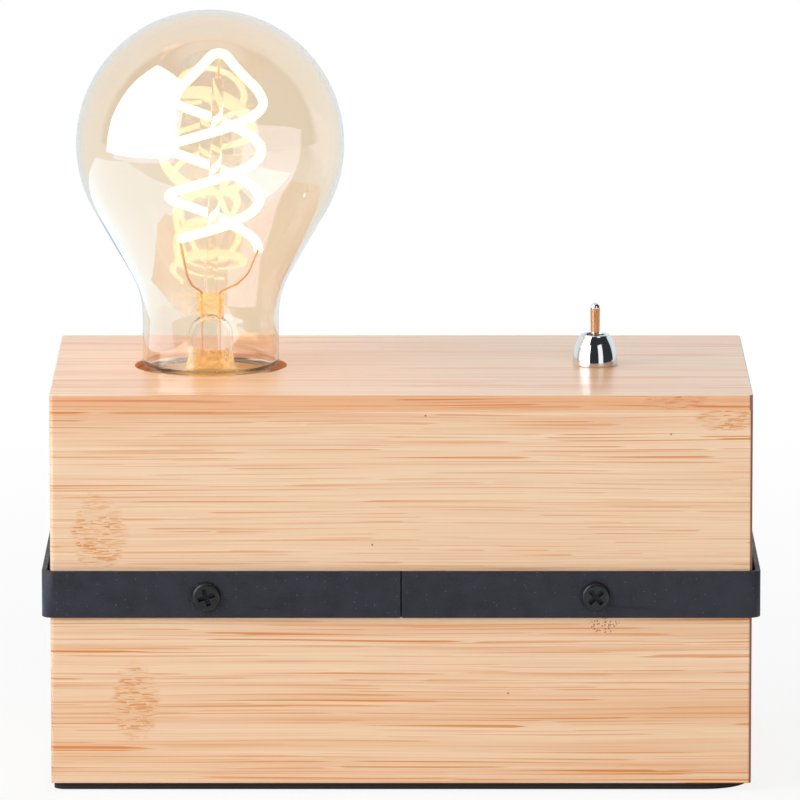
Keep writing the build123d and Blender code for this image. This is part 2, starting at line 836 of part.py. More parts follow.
# Cord inlet through the back wall
gland = post(gland_radius, -wall_board - gland_nut_thick, 0)
flange = post(gland_flange, 0, gland_flange_thick)
gland += fillet(flange.edges().group_by(Axis.Z)[-1], gland_flange_thick * 0.5)
gland -= post(gland_bore, -wall_board - gland_nut_thick - 1, gland_flange_thick + 1)
keep("cord_gland", gland_frame * gland)
gland_ring = ring(
    gland_nut_radius, gland_radius + screw_fit, -wall_board - gland_nut_thick, -wall_board
)
notch = block(
    gland_nut_notch,
    gland_nut_notch,
    gland_nut_thick + 2,
    gland_nut_radius,
    0,
    -wall_board - gland_nut_thick - 1,
)
for step in range(gland_nut_notches):
    gland_ring -= Rot(0, 0, step * 360 / gland_nut_notches) * notch
keep("gland_ring", gland_frame * gland_ring)

# Two-way connector on the back wall
connector_y = connector_back - connector_depth / 2
connector = block(
    connector_width, connector_depth, connector_tall, connector_offset, connector_y, connector_low
)
connector = fillet(connector.edges().filter_by(Axis.Z), connector_round)
connector -= connector_frame * post(
    connector_screw / 2 + 2 * screw_fit, -connector_depth - 1, 1
)
connector -= connector_frame * post(connector_screw_head / 2 + screw_fit, -connector_screw_sink, 1)
grubs = []
pole_x = [connector_offset + side * connector_pole / 2 for side in (-1, 1)]
connector_top = connector_low + connector_tall
for x in pole_x:
    entry = post(lead_radius + lead_fit, connector_top - lead_sink, connector_top + 1)
    outlet = post(connector_outlet, connector_low - 1, connector_low + lead_sink)
    connector -= Pos(x, connector_y, 0) * (entry + outlet)
    for z in (connector_low + lead_sink / 2, connector_top - lead_sink / 2):
        grub_frame = Plane(
            origin=(x, connector_back - connector_depth, z), x_dir=(1, 0, 0), z_dir=(0, -1, 0)
        )
        depth = connector_depth / 2 - grub_stop
        connector -= grub_frame * post(connector_grub / 2 + screw_fit, -depth, 1)
        grub = post(connector_grub / 2, -depth, -grub_sunk)
        grub -= block(
            connector_grub + 1, grub_slot, 2 * grub_slot_depth, 0, 0, -grub_sunk - grub_slot_depth
        )
        grubs.append(grub_frame * grub)
keep("connector_block", connector)
group("connector_grubs", grubs)
fixing = post(connector_screw_head / 2, -connector_screw_sink, -connector_screw_sunk)
fixing += post(connector_screw / 2, -connector_depth - wall_board * 0.6, -connector_screw_sink)
fixing -= cross_recess(-connector_screw_sunk, connector_screw_turn)
keep("connector_screw", connector_frame * fixing)

# Leads: neutral and live from the connector, switched from the switch to the holder
lead_end = connector_top - lead_sink
terminal_end = body_low - terminal_tail
post_reach = post_low + post_grip
neutral_run_z = nipple_low - neutral_run_drop
switched_run_z = nipple_low - switched_run_drop
live_run_z = terminal_end - live_run_drop
inner_lead = nipple_bore - lead_radius - lead_way_gap
neutral_x = -bulb_offset + inner_lead
switched_x = -bulb_offset - inner_lead
neutral_lead = lead(
    [
        (pole_x[0], connector_y, lead_end),
        (pole_x[0], connector_y, neutral_run_z),
        (neutral_x, 0, neutral_run_z),
        (neutral_x, 0, post_reach),
        (-bulb_offset + neutral_post_offset - neutral_post_radius - screw_fit, 0, post_reach),
    ]
)
keep("neutral_lead", neutral_lead)
switched_lead = lead(
    [
        (switch_offset, 0, terminal_end),
        (switch_offset, 0, switched_run_z),
        (switched_x, 0, switched_run_z),
        (switched_x, 0, post_reach),
        (-bulb_offset - live_post_offset + live_post_radius + screw_fit, 0, post_reach),
    ]
)
keep("switched_lead", switched_lead)
live_lead = lead(
    [
        (pole_x[1], connector_y, lead_end),
        (pole_x[1], connector_y, live_run_z),
        (switch_offset, terminal_spacing, live_run_z),
        (switch_offset, terminal_spacing, terminal_end),
    ]
)
keep("live_lead", live_lead)

for name, shape in made.items():
    print(name, len(shape.solids()), round(shape.volume, 1))
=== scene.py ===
import bpy
import math
from mathutils import Euler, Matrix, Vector


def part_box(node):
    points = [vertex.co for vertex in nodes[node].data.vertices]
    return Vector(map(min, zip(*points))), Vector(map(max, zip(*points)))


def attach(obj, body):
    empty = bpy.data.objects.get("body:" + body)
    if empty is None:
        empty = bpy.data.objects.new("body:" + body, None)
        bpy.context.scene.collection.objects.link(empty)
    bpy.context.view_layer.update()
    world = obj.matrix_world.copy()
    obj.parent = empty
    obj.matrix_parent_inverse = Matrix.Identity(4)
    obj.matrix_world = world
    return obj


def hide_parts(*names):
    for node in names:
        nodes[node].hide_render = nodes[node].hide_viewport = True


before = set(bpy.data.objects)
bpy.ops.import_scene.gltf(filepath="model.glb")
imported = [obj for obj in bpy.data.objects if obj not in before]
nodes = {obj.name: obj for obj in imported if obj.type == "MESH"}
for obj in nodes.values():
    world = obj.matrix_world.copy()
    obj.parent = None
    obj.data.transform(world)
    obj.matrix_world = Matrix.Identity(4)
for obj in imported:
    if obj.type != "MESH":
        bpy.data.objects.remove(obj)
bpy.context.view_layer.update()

scene = bpy.context.scene
scene.view_settings.view_transform = "Standard"
mm = 0.001
print("frame loaded:", len(nodes), "nodes")


# helpers for node trees


def addNode(tree, kind, **settings):
    node = tree.nodes.new(kind)
    for key, value in settings.items():
        setattr(node, key, value)
    return node


def feed(tree, socket, value):
    # a socket is linked, anything else is set as the input's own value
    if isinstance(value, bpy.types.NodeSocket):
        tree.links.new(value, socket)
    else:
        socket.default_value = value


def feedAll(tree, node, *values):
    for socket, value in zip(node.inputs, values):
        feed(tree, socket, value)
    return node.outputs[0]


def mathNode(tree, operation, first, second=0.0, third=0.0):
    return feedAll(tree, addNode(tree, "ShaderNodeMath", operation=operation), first, second, third)


def times(tree, first, second):
    return mathNode(tree, "MULTIPLY", first, second)


def minus(tree, first, second):
    return mathNode(tree, "SUBTRACT", first, second)


def larger(tree, first, second):
    return mathNode(tree, "MAXIMUM", first, second)


def unsigned(tree, value):
    return mathNode(tree, "ABSOLUTE", value)


def vectorNode(tree, operation, first, second):
    return feedAll(tree, addNode(tree, "ShaderNodeVectorMath", operation=operation), first, second)


def scaled(tree, vector, factor):
    node = addNode(tree, "ShaderNodeVectorMath", operation="SCALE")
    feed(tree, node.inputs[0], vector)
    feed(tree, node.inputs["Scale"], factor)
    return node.outputs[0]


def splitVector(tree, vector):
    node = addNode(tree, "ShaderNodeSeparateXYZ")
    feed(tree, node.inputs[0], vector)
    return node.outputs


def joinVector(tree, x, y, z):
    return feedAll(tree, addNode(tree, "ShaderNodeCombineXYZ"), x, y, z)


def lengthOf(tree, x, y):
    node = addNode(tree, "ShaderNodeVectorMath", operation="LENGTH")
    feed(tree, node.inputs[0], joinVector(tree, x, y, 0.0))
    return node.outputs["Value"]


def noise(tree, vector, scale, detail=2.0):
    node = addNode(tree, "ShaderNodeTexNoise")
    feed(tree, node.inputs["Vector"], vector)
    feed(tree, node.inputs["Scale"], scale)
    node.inputs["Detail"].default_value = detail
    return node.outputs["Fac"]


def dice(tree, first, second=None):
    # three chances that stay the same for a whole number, or for a pair of them
    if second is None:
        node = addNode(tree, "ShaderNodeTexWhiteNoise", noise_dimensions="1D")
        feed(tree, node.inputs["W"], first)
    else:
        node = addNode(tree, "ShaderNodeTexWhiteNoise", noise_dimensions="2D")
        feed(tree, node.inputs["Vector"], joinVector(tree, first, second, 0.0))
    return splitVector(tree, node.outputs["Color"])


def mapRange(tree, value, low, high, toLow=0.0, toHigh=1.0):
    node = addNode(tree, "ShaderNodeMapRange", interpolation_type="SMOOTHSTEP")
    return feedAll(tree, node, value, low, high, toLow, toHigh)


def mixNumber(tree, share, first, second):
    # the node has its share first, then numbers from input 2 and colours from input 6
    node = addNode(tree, "ShaderNodeMix")
    feed(tree, node.inputs[0], share)
    feed(tree, node.inputs[2], first)
    feed(tree, node.inputs[3], second)
    return node.outputs[0]


def mixColour(tree, share, first, second, blend="MIX"):
    node = addNode(tree, "ShaderNodeMix", data_type="RGBA", blend_type=blend)
    feed(tree, node.inputs[0], share)
    feed(tree, node.inputs[6], first)
    feed(tree, node.inputs[7], second)
    return node.outputs[2]


def mixShaders(tree, share, first, second):
    mix = addNode(tree, "ShaderNodeMixShader")
    feed(tree, tree.nodes["Material Output"].inputs["Surface"], feedAll(tree, mix, share, first, second))


def rgb(red, green, blue):
    # a colour picked as it looks on screen, turned into the linear one that shaders use
    def linear(level):
        level /= 255
        return level / 12.92 if level <= 0.04045 else ((level + 0.055) / 1.055) ** 2.4

    return (linear(red), linear(green), linear(blue), 1.0)


def newGroup(name, inputs, outputs):
    tree = bpy.data.node_groups.new(name, "ShaderNodeTree")
    for label, kind, start in inputs:
        socket = tree.interface.new_socket(label, in_out="INPUT", socket_type="NodeSocket" + kind)
        if start is not None:
            socket.default_value = start
    for label, kind in outputs:
        tree.interface.new_socket(label, in_out="OUTPUT", socket_type="NodeSocket" + kind)
    return tree, addNode(tree, "NodeGroupInput").outputs, addNode(tree, "NodeGroupOutput").inputs


def useGroup(tree, group, **values):
    node = addNode(tree, "ShaderNodeGroup", node_tree=group)
    for label, value in values.items():
        feed(tree, node.inputs[label], value)
    return node.outputs


def newMaterial(name, **settings):
    material = bpy.data.materials.new(name)
    material.use_nodes = True
    tree = material.node_tree
    shader = tree.nodes["Principled BSDF"]
    for label, value in settings.items():
        shader.inputs[label.replace("_", " ")].default_value = value
    return material, tree, shader


def objectPoint(tree):
    return addNode(tree, "ShaderNodeTexCoord").outputs["Object"]


def addBump(tree, shader, height, strength, distance):
    bump = addNode(tree, "ShaderNodeBump")
    bump.inputs["Strength"].default_value = strength
    bump.inputs["Distance"].default_value = distance
    feed(tree, bump.inputs["Height"], height)
    feed(tree, shader.inputs["Normal"], bump.outputs[0])


def paintOver(tree, shader, mask, colour):
    # lays another colour over the base colour where the mask is 1
    base = shader.inputs["Base Color"]
    feed(tree, base, mixColour(tree, mask, base.links[0].from_socket, colour))


# helpers for CAD nodes and new meshes

softEdge = {"join": 0.000002, "segments": 2, "angle": math.radians(35)}
creaseAngle = math.radians(50)


def dress(material, *names):
    for name in names:
        slots = nodes[name].data.materials
        slots.clear()
        slots.append(material)


def soften(name, width):
    # rounds the sharp edges of a CAD node without touching its mesh
    node = nodes[name]
    weld = node.modifiers.new("joinFaces", "WELD")
    weld.merge_threshold = softEdge["join"]
    bevel = node.modifiers.new("softEdges", "BEVEL")
    bevel.width = width
    bevel.segments = softEdge["segments"]
    bevel.limit_method = "ANGLE"
    bevel.angle_limit = softEdge["angle"]
    bevel.harden_normals = True


def newPiece(name, points, faces, material, body, slot, *replaced):
    mesh = bpy.data.meshes.new(name)
    mesh.from_pydata(points, [], faces)
    mesh.update()
    mesh.shade_smooth()
    mesh.set_sharp_from_angle(angle=creaseAngle)
    mesh.materials.append(material)
    piece = bpy.data.objects.new(name, mesh)
    scene.collection.objects.link(piece)
    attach(piece, body)
    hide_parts(*replaced)


def lathe(profile, axis, steps):
    # spins (radius, height) points, outside first from the top down; a radius of 0 becomes one point
    points, rings = [], []
    for radius, height in profile:
        count = 1 if radius == 0 else steps
        rings.append((len(points), count))
        for step in range(count):
            turn = 2 * math.pi * step / steps
            points.append((axis.x + radius * math.cos(turn), axis.y + radius * math.sin(turn), height))
    faces = []
    for (low, lowCount), (high, highCount) in zip(rings, rings[1:]):
        for step in range(steps):
            after = (step + 1) % steps
            corners = [low + step % lowCount, high + step % highCount]
            corners += [high + after % highCount, low + after % lowCount]
            corners = list(dict.fromkeys(corners))
            if len(corners) > 2:
                faces.append(corners)
    return points, faces


def arcPoints(centre, radius, fromAngle, toAngle, steps):
    sweep = toAngle - fromAngle
    angles = [fromAngle + sweep * step / steps for step in range(steps + 1)]
    return [(centre[0] + radius * math.cos(a), centre[1] + radius * math.sin(a)) for a in angles]


# effects that several materials share


def makeStreakGroup():
    # long thin fibres along X, with tapered ends
    tree, given, out = newGroup(
        "fibreStreaks",
        [
            ("Grain", "Vector", None),
            ("Length", "Float", 40.0),
            ("Width", "Float", 0.5),
            ("Cover", "Float", 0.5),
            ("Softness", "Float", 0.06),
        ],
        [("Streak", "Float")],
    )
    x, y, z = splitVector(tree, given["Grain"])
    along = mathNode(tree, "DIVIDE", x, given["Length"])
    across = mathNode(tree, "DIVIDE", y, given["Width"])
    deep = mathNode(tree, "DIVIDE", z, given["Width"])
    level = noise(tree, joinVector(tree, along, across, deep), 1.0, detail=1.5)
    low = minus(tree, given["Cover"], given["Softness"])
    high = mathNode(tree, "ADD", given["Cover"], given["Softness"])
    feed(tree, out["Streak"], mapRange(tree, level, low, high))
    return tree


caneFibre = {
    "shortest": 0.55,  # against the given length; the longest is 1 more
    "rowShift": 53.0,
    "flipAbove": 0.45,
    "bluntEnd": (0.0, 0.1),
    "taperEnd": (1.0, 0.2),
    "thickness": (0.5, 0.3),  # spread and least share of the given one
    "least": 0.001,
    "scatter": 0.5,
    "core": 0.35,
}


def makeFibreGroup():
    # rows of separate fibres along X, each blunt at one end and tapered at the other
    tree, given, out = newGroup(
        "caneFibres",
        [
            ("Grain", "Vector", None),
            ("Spacing", "Float", 1.1),
            ("Length", "Float", 20.0),
            ("Thickness", "Float", 0.4),
            ("Presence", "Float", 0.6),
        ],
        [("Streak", "Float")],
    )
    x, y = splitVector(tree, given["Grain"])[:2]
    rows = mathNode(tree, "DIVIDE", y, given["Spacing"])
    row = mathNode(tree, "FLOOR", rows)
    rowChance = dice(tree, row)
    length = times(tree, given["Length"], mathNode(tree, "ADD", rowChance[0], caneFibre["shortest"]))
    along = mathNode(tree, "DIVIDE", x, length)
    along = mathNode(tree, "MULTIPLY_ADD", rowChance[1], caneFibre["rowShift"], along)
    chance = dice(tree, mathNode(tree, "FLOOR", along), row)
    flip = mathNode(tree, "GREATER_THAN", chance[1], caneFibre["flipAbove"])
    run = unsigned(tree, minus(tree, mathNode(tree, "FRACT", along), flip))
    bluntEnd = mapRange(tree, run, *caneFibre["bluntEnd"])
    taper = times(tree, bluntEnd, mapRange(tree, run, *caneFibre["taperEnd"]))
    thick = mathNode(tree, "DIVIDE", given["Thickness"], given["Spacing"])
    thick = times(tree, thick, mathNode(tree, "MULTIPLY_ADD", chance[2], *caneFibre["thickness"]))
    thick = mathNode(tree, "MULTIPLY_ADD", thick, taper, caneFibre["least"])
    moved = minus(tree, chance[2], 0.5)
    aside = mathNode(tree, "MULTIPLY_ADD", moved, caneFibre["scatter"], mathNode(tree, "FRACT", rows))
    off = unsigned(tree, minus(tree, aside, 0.5))
    body = mapRange(tree, off, thick, times(tree, thick, caneFibre["core"]))
    shown = mapRange(tree, chance[0], minus(tree, 1.0, given["Presence"]), 1.0)
    feed(tree, out["Streak"], times(tree, body, shown))
    return tree


surface = {"broad": 0.09, "bumpDepth": 0.3}  # both against the size of the fine texture


def makeFinishGroup():
    # uneven tint, roughness and a fine surface texture for metal, plastic, rubber and paint
    tree, given, out = newGroup(
        "unevenFinish",
        [
            ("Colour", "Color", (0.5, 0.5, 0.5, 1.0)),
            ("Shade", "Float", 0.1),
            ("Roughness", "Float", 0.4),
            ("Uneven", "Float", 0.1),
            ("Size", "Float", 0.001),
        ],
        [("Colour", "Color"), ("Roughness", "Float"), ("Height", "Float")],
    )
    place = objectPoint(tree)
    fine = noise(tree, place, mathNode(tree, "DIVIDE", 1.0, given["Size"]), detail=3.0)
    broad = noise(tree, place, mathNode(tree, "DIVIDE", surface["broad"], given["Size"]))
    both = minus(tree, mathNode(tree, "ADD", fine, broad), 1.0)
    tint = mathNode(tree, "MULTIPLY_ADD", both, given["Shade"], 1.0)
    feed(tree, out["Colour"], scaled(tree, given["Colour"], tint))
    feed(tree, out["Roughness"], mathNode(tree, "MULTIPLY_ADD", both, given["Uneven"], given["Roughness"]))
    feed(tree, out["Height"], fine)
    return tree


def makeDotGroup():
    # a few small round marks, one at most in each cell
    tree, given, out = newGroup(
        "pinDots",
        [
            ("Grain", "Vector", None),
            ("Cell", "Float", 7.0),
            ("Radius", "Float", 0.3),
            ("Share", "Float", 0.3),
        ],
        [("Dot", "Float")],
    )
    core = 0.4  # share of a dot that has its full colour
    cells = addNode(tree, "ShaderNodeTexVoronoi", voronoi_dimensions="2D")
    feed(tree, cells.inputs["Vector"], given["Grain"])
    feed(tree, cells.inputs["Scale"], mathNode(tree, "DIVIDE", 1.0, given["Cell"]))
    rim = mathNode(tree, "DIVIDE", given["Radius"], given["Cell"])
    dot = mapRange(tree, cells.outputs["Distance"], rim, times(tree, rim, core))
    chosen = mathNode(tree, "LESS_THAN", splitVector(tree, cells.outputs["Color"])[0], given["Share"])
    feed(tree, out["Dot"], times(tree, dot, chosen))
    return tree


streakGroup = makeStreakGroup()
fibreGroup = makeFibreGroup()
finishGroup = makeFinishGroup()
dotGroup = makeDotGroup()
print("shared effects done")


# bamboo: strips of straight fibre, with a knuckle here and there; lengths in mm

bamboo = {
    "pale": rgb(251, 221, 189),
    "honey": rgb(242, 204, 162),
    "streak": rgb(226, 143, 70),
    "knuckle": rgb(236, 192, 148),
    "pin": rgb(136, 64, 32),
    "stripWidth": 20.2,
    "caneShift": 900.0,
    "wander": (90.0, 1.6),  # length and reach of a fibre's slow drift
    "ripple": (3.0, 0.7),
    "bundle": (80.0, 6.0),  # length and width
    "bundleRange": (0.36, 0.64, 0.6, 1.55),
    "denseRange": (0.35, 0.6, 0.5, 1.0),
    "outerSide": (0.35, 0.65),
    "faintBelow": 1.2,
    "seamFrom": 0.492,
    "roughness": 0.5,
    "fibreRoughness": 0.12,
    "dent": {"bold": -0.6, "seam": -1.0, "hair": -0.25},
}
bambooFibres = {
    "bold": {"Spacing": 1.25, "Length": 66.0, "Thickness": 0.54, "Presence": 0.95},
    "fine": {"Spacing": 0.7, "Length": 50.0, "Thickness": 0.3, "Presence": 0.9},
    "short": {"Spacing": 0.85, "Length": 24.0, "Thickness": 0.32, "Presence": 0.6},
    "dash": {"Spacing": 0.55, "Length": 5.5, "Thickness": 0.42, "Presence": 0.95},
    "frays": {"Spacing": 0.42, "Length": 3.2, "Thickness": 0.34, "Presence": 0.95},
}
bambooStreaks = {
    "hair": {"Length": 60.0, "Width": 0.16, "Cover": 0.52, "Softness": 0.16},
    "band": {"Length": 170.0, "Width": 2.2, "Cover": 0.52, "Softness": 0.16},
}
bambooDots = {
    "pins": {"Cell": 9.0, "Radius": 0.3, "Share": 0.02},
    "speckles": {"Cell": 0.62, "Radius": 0.26, "Share": 0.65},
}
bambooStrength = {
    "honey": 0.3,
    "band": 0.32,
    "hair": 0.2,
    "knuckle": 0.35,
    "fine": 0.9,
    "short": 0.85,
    "dash": 0.85,
    "pins": 0.75,
    "seam": 0.35,
}


def makeBambooGroup():
    tree, given, out = newGroup(
        "bambooGrain",
        [
            ("Grain", "Vector", None),
            ("Shift", "Float", 0.0),
            ("Seed", "Float", 0.0),
            ("Knuckle", "Float", 0.0),
            ("Speckle", "Float", 0.0),
        ],
        [("Colour", "Color"), ("Roughness", "Float"), ("Height", "Float")],
    )
    x, y, z = splitVector(tree, given["Grain"])
    strip = mathNode(tree, "DIVIDE", minus(tree, y, given["Shift"]), bamboo["stripWidth"])
    inStrip = mathNode(tree, "FRACT", strip)
    chance = dice(tree, mathNode(tree, "ADD", mathNode(tree, "FLOOR", strip), given["Seed"]))

    # each strip is cut from another cane, so its fibres start somewhere else and wander a little
    moved = mathNode(tree, "MULTIPLY_ADD", chance[0], bamboo["caneShift"], x)
    driftLength, driftReach = bamboo["wander"]
    drift = joinVector(tree, mathNode(tree, "DIVIDE", moved, driftLength), strip, 0.0)
    sway = mathNode(tree, "MULTIPLY_ADD", noise(tree, drift, 1.0, detail=1.0), driftReach, y)
    rippleLength, rippleScale = bamboo["ripple"]
    ripple = joinVector(tree, mathNode(tree, "DIVIDE", moved, rippleLength), y, z)
    ripple = minus(tree, noise(tree, ripple, rippleScale, detail=1.0), 0.5)
    sway = mathNode(tree, "MULTIPLY_ADD", ripple, given["Knuckle"], sway)
    fibre = joinVector(tree, moved, sway, z)

    marks = {}
    for group, sets in ((fibreGroup, bambooFibres), (streakGroup, bambooStreaks), (dotGroup, bambooDots)):
        for label, values in sets.items():
            marks[label] = useGroup(tree, group, Grain=fibre, **values)[0]

    # the outer side of the cane has more and longer bundles than the inner one
    flip = mathNode(tree, "GREATER_THAN", chance[2], 0.5)
    outer = unsigned(tree, minus(tree, inStrip, flip))
    dense = mapRange(tree, chance[1], *bamboo["denseRange"])
    crowd = times(tree, dense, mathNode(tree, "MULTIPLY_ADD", outer, *bamboo["outerSide"]))
    # they lie in bundles, with calmer wood between them
    bundleLength, bundleWidth = bamboo["bundle"]
    bundle = mathNode(tree, "DIVIDE", moved, bundleLength)
    bundle = joinVector(tree, bundle, mathNode(tree, "DIVIDE", sway, bundleWidth), z)
    bundle = mapRange(tree, noise(tree, bundle, 1.0, detail=1.0), *bamboo["bundleRange"])
    crowd = times(tree, crowd, bundle)

    calm = minus(tree, 1.0, given["Knuckle"])
    faint = minus(tree, bamboo["faintBelow"], dense)
    dash = larger(tree, marks["dash"], marks["frays"])
    pins = larger(tree, marks["pins"], times(tree, marks["speckles"], given["Speckle"]))
    seam = mapRange(tree, unsigned(tree, minus(tree, inStrip, 0.5)), bamboo["seamFrom"], 0.5)
    strength = bambooStrength
    layers = [  # from the ground up: mask, strength and colour
        (chance[2], strength["honey"], "honey"),
        (times(tree, marks["band"], crowd), strength["band"], "streak"),
        (marks["hair"], strength["hair"], "streak"),
        (given["Knuckle"], strength["knuckle"], "knuckle"),
        (times(tree, marks["fine"], calm), times(tree, crowd, strength["fine"]), "streak"),
        (times(tree, marks["bold"], calm), crowd, "streak"),
        (times(tree, marks["short"], calm), times(tree, faint, strength["short"]), "streak"),
        (times(tree, dash, given["Knuckle"]), strength["dash"], "streak"),
        (pins, strength["pins"], "pin"),
        (seam, strength["seam"], "streak"),
    ]
    ground = bamboo["pale"]
    for mask, share, colour in layers:
        ground = mixColour(tree, times(tree, mask, share), ground, bamboo[colour])
    feed(tree, out["Colour"], ground)

    rough = mathNode(tree, "MULTIPLY_ADD", marks["bold"], bamboo["fibreRoughness"], bamboo["roughness"])
    feed(tree, out["Roughness"], rough)
    dent = times(tree, marks["bold"], bamboo["dent"]["bold"])
    dent = mathNode(tree, "ADD", dent, times(tree, seam, bamboo["dent"]["seam"]))
    feed(tree, out["Height"], mathNode(tree, "MULTIPLY_ADD", marks["hair"], bamboo["dent"]["hair"], dent))
    return tree


knuckle = {"raggedScale": 0.35, "raggedReach": 0.7, "rim": (1.05, 0.75)}


def makeKnuckleGroup():
    # a soft-edged oval where the cane had a joint
    tree, given, out = newGroup(
        "caneKnuckle",
        [("Grain", "Vector", None), ("Middle", "Vector", None), ("Reach", "Vector", (8.0, 8.0, 1.0))],
        [("Mask", "Float")],
    )
    away = vectorNode(tree, "SUBTRACT", given["Grain"], given["Middle"])
    x, y = splitVector(tree, vectorNode(tree, "DIVIDE", away, given["Reach"]))[:2]
    ragged = noise(tree, given["Grain"], knuckle["raggedScale"])
    rim = minus(tree, lengthOf(tree, x, y), knuckle["raggedReach"] / 2)
    rim = mathNode(tree, "MULTIPLY_ADD", ragged, knuckle["raggedReach"], rim)
    feed(tree, out["Mask"], mapRange(tree, rim, *knuckle["rim"]))
    return tree


bambooGroup = makeBambooGroup()
knuckleGroup = makeKnuckleGroup()

# order: the object axes that run along the grain, across the strips and through the board
# knuckles and speckles: middle and reach along and across the grain
boards = {
    "front_board": {
        "name": "bambooFront",
        "order": (0, 2, 1),
        "seed": 3.0,
        "knuckles": [
            ((-66.6, 57.8), (6.5, 8.5)),
            ((-59.0, 19.6), (5.5, 9.2)),
            ((72.0, 83.0), (8.0, 2.6)),
        ],
        "speckles": [((45.0, 37.0), (3.4, 2.2))],
    },
    "back_board": {
        "name": "bambooBack",
        "order": (0, 2, 1),
        "seed": 17.0,
        "knuckles": [((38.0, 30.0), (6.0, 9.0)), ((-20.0, 70.0), (5.5, 8.0))],
    },
    "left_board": {
        "name": "bambooLeft",
        "order": (1, 2, 0),
        "seed": 29.0,
        "knuckles": [((-14.0, 52.0), (5.5, 8.0))],
    },
    "right_board": {"name": "bambooRight", "order": (1, 2, 0), "seed": 41.0},
    "top_board": {
        "name": "bambooLid",
        "order": (0, 1, 2),
        "seed": 53.0,
        "knuckles": [((60.0, 87.2), (7.0, 1.9))],
        "isLid": True,
    },
}
wallBoard = {"shift": 4.0, "gloss": 0.35, "shade": (0.3, 0.55)}
lidBoard = {"shift": -8.0, "gloss": 0.9, "shade": (0.1, 0.25)}
boardFinish = {
    "edge": rgb(240, 175, 84),
    "edgeStrength": 0.6,
    # strap shade: painted shade on the wood hidden under the strap
    "strapShade": rgb(24, 22, 24),
    "strapShadeSoftness": 0.05,
    "end": rgb(232, 196, 158),
    "endDots": {"Cell": 0.9, "Radius": 0.42, "Share": 0.8},
    "endDotStrength": 0.45,
    "endsFrom": 75.5,
    "endFlat": (0.95, 0.985),
    "shade": rgb(150, 92, 70),
    "sawn": (0.75, 0.3),
    "lidShine": 0.22,
    "bump": 0.35,
    "bumpDepth": 0.00012,
    "softEdge": 0.00025,
}
strapLow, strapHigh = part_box("strap")
strapMiddle = (strapLow.z + strapHigh.z) / 2 / mm
strapHalf = (strapHigh.z - strapLow.z) / 2 / mm


def coverMask(tree, grain, places):
    mask = 0.0
    for middle, reach in places:
        spot = useGroup(tree, knuckleGroup, Grain=grain, Middle=(*middle, 0.0), Reach=(*reach, 1.0))[0]
        mask = larger(tree, spot, mask)
    return mask


def shadeEnds(tree, colour, ends, spot, shadeFrom):
    # sawn ends show the fibres as dots, and the rounded edge at the right stays in the shade
    flat = boardFinish["endFlat"]
    dots = useGroup(tree, dotGroup, Grain=spot, **boardFinish["endDots"])[0]
    dots = times(tree, dots, boardFinish["endDotStrength"])
    endGrain = mixColour(tree, dots, boardFinish["end"], bamboo["streak"])
    colour = mixColour(tree, mapRange(tree, unsigned(tree, ends), *flat), colour, endGrain)
    shade = times(tree, mapRange(tree, ends, *shadeFrom), mapRange(tree, ends, *flat[::-1]))
    return mixColour(tree, shade, colour, boardFinish["shade"])


def makeBamboo(name, order, seed, knuckles=(), speckles=(), isLid=False):
    board = lidBoard if isLid else wallBoard
    material, tree, shader = newMaterial(name)
    point = splitVector(tree, scaled(tree, objectPoint(tree), 1 / mm))
    normal = splitVector(tree, addNode(tree, "ShaderNodeNewGeometry").outputs["True Normal"])
    along, across, through = [point[axis] for axis in order]
    spot = joinVector(tree, across, through, 0.0)
    sawn = mapRange(tree, unsigned(tree, normal[order[2]]), *boardFinish["sawn"])
    if isLid:
        across = mixNumber(tree, sawn, across, through)  # the sawn edge shows the layers of the board
    grain = joinVector(tree, along, across, through)
    look = useGroup(
        tree,
        bambooGroup,
        Grain=grain,
        Shift=board["shift"],
        Seed=seed,
        Knuckle=coverMask(tree, grain, knuckles),
        Speckle=coverMask(tree, grain, speckles),
    )
    colour = look["Colour"]
    shine = look["Roughness"]
    if isLid:
        edge = times(tree, sawn, boardFinish["edgeStrength"])
        colour = mixColour(tree, edge, colour, boardFinish["edge"], "MULTIPLY")
        shine = minus(tree, shine, mapRange(tree, sawn, 1.0, 0.0, 0.0, boardFinish["lidShine"]))
    outer = mathNode(tree, "GREATER_THAN", unsigned(tree, along), boardFinish["endsFrom"])
    ends = times(tree, normal[order[0]], outer)
    colour = shadeEnds(tree, colour, ends, spot, board["shade"])
    if not isLid:
        # painted shade: the wood under the strap is dark, so the gap between the strap's ends shows shade
        off = unsigned(tree, minus(tree, across, strapMiddle))
        under = mapRange(tree, off, strapHalf, strapHalf - boardFinish["strapShadeSoftness"])
        colour = mixColour(tree, under, colour, boardFinish["strapShade"])
    feed(tree, shader.inputs["Base Color"], colour)
    feed(tree, shader.inputs["Roughness"], shine)
    shader.inputs["Specular IOR Level"].default_value = board["gloss"]
    addBump(tree, shader, look["Height"], boardFinish["bump"], boardFinish["bumpDepth"])
    return material


for name, board in boards.items():
    dress(makeBamboo(**board), name)
for name in ("front_board", "back_board"):
    soften(name, boardFinish["softEdge"])
print("bamboo boards done")


# plain woods under the case

rawWoods = {
    "sawnSoftwood": {
        "piece": "corner_blocks",
        "colour": rgb(222, 190, 140),
        "streak": rgb(196, 152, 100),
        "grain": {"Length": 30.0, "Width": 1.6, "Cover": 0.55, "Softness": 0.12},
    },
    "hardFibreboard": {
        "piece": "floor_board",
        "colour": rgb(150, 116, 84),
        "streak": rgb(112, 82, 58),
        "grain": {"Length": 1.6, "Width": 0.7, "Cover": 0.5, "Softness": 0.12},
    },
}
rawSurface = {"roughness": 0.8, "bump": 0.4, "bumpDepth": 0.0002}


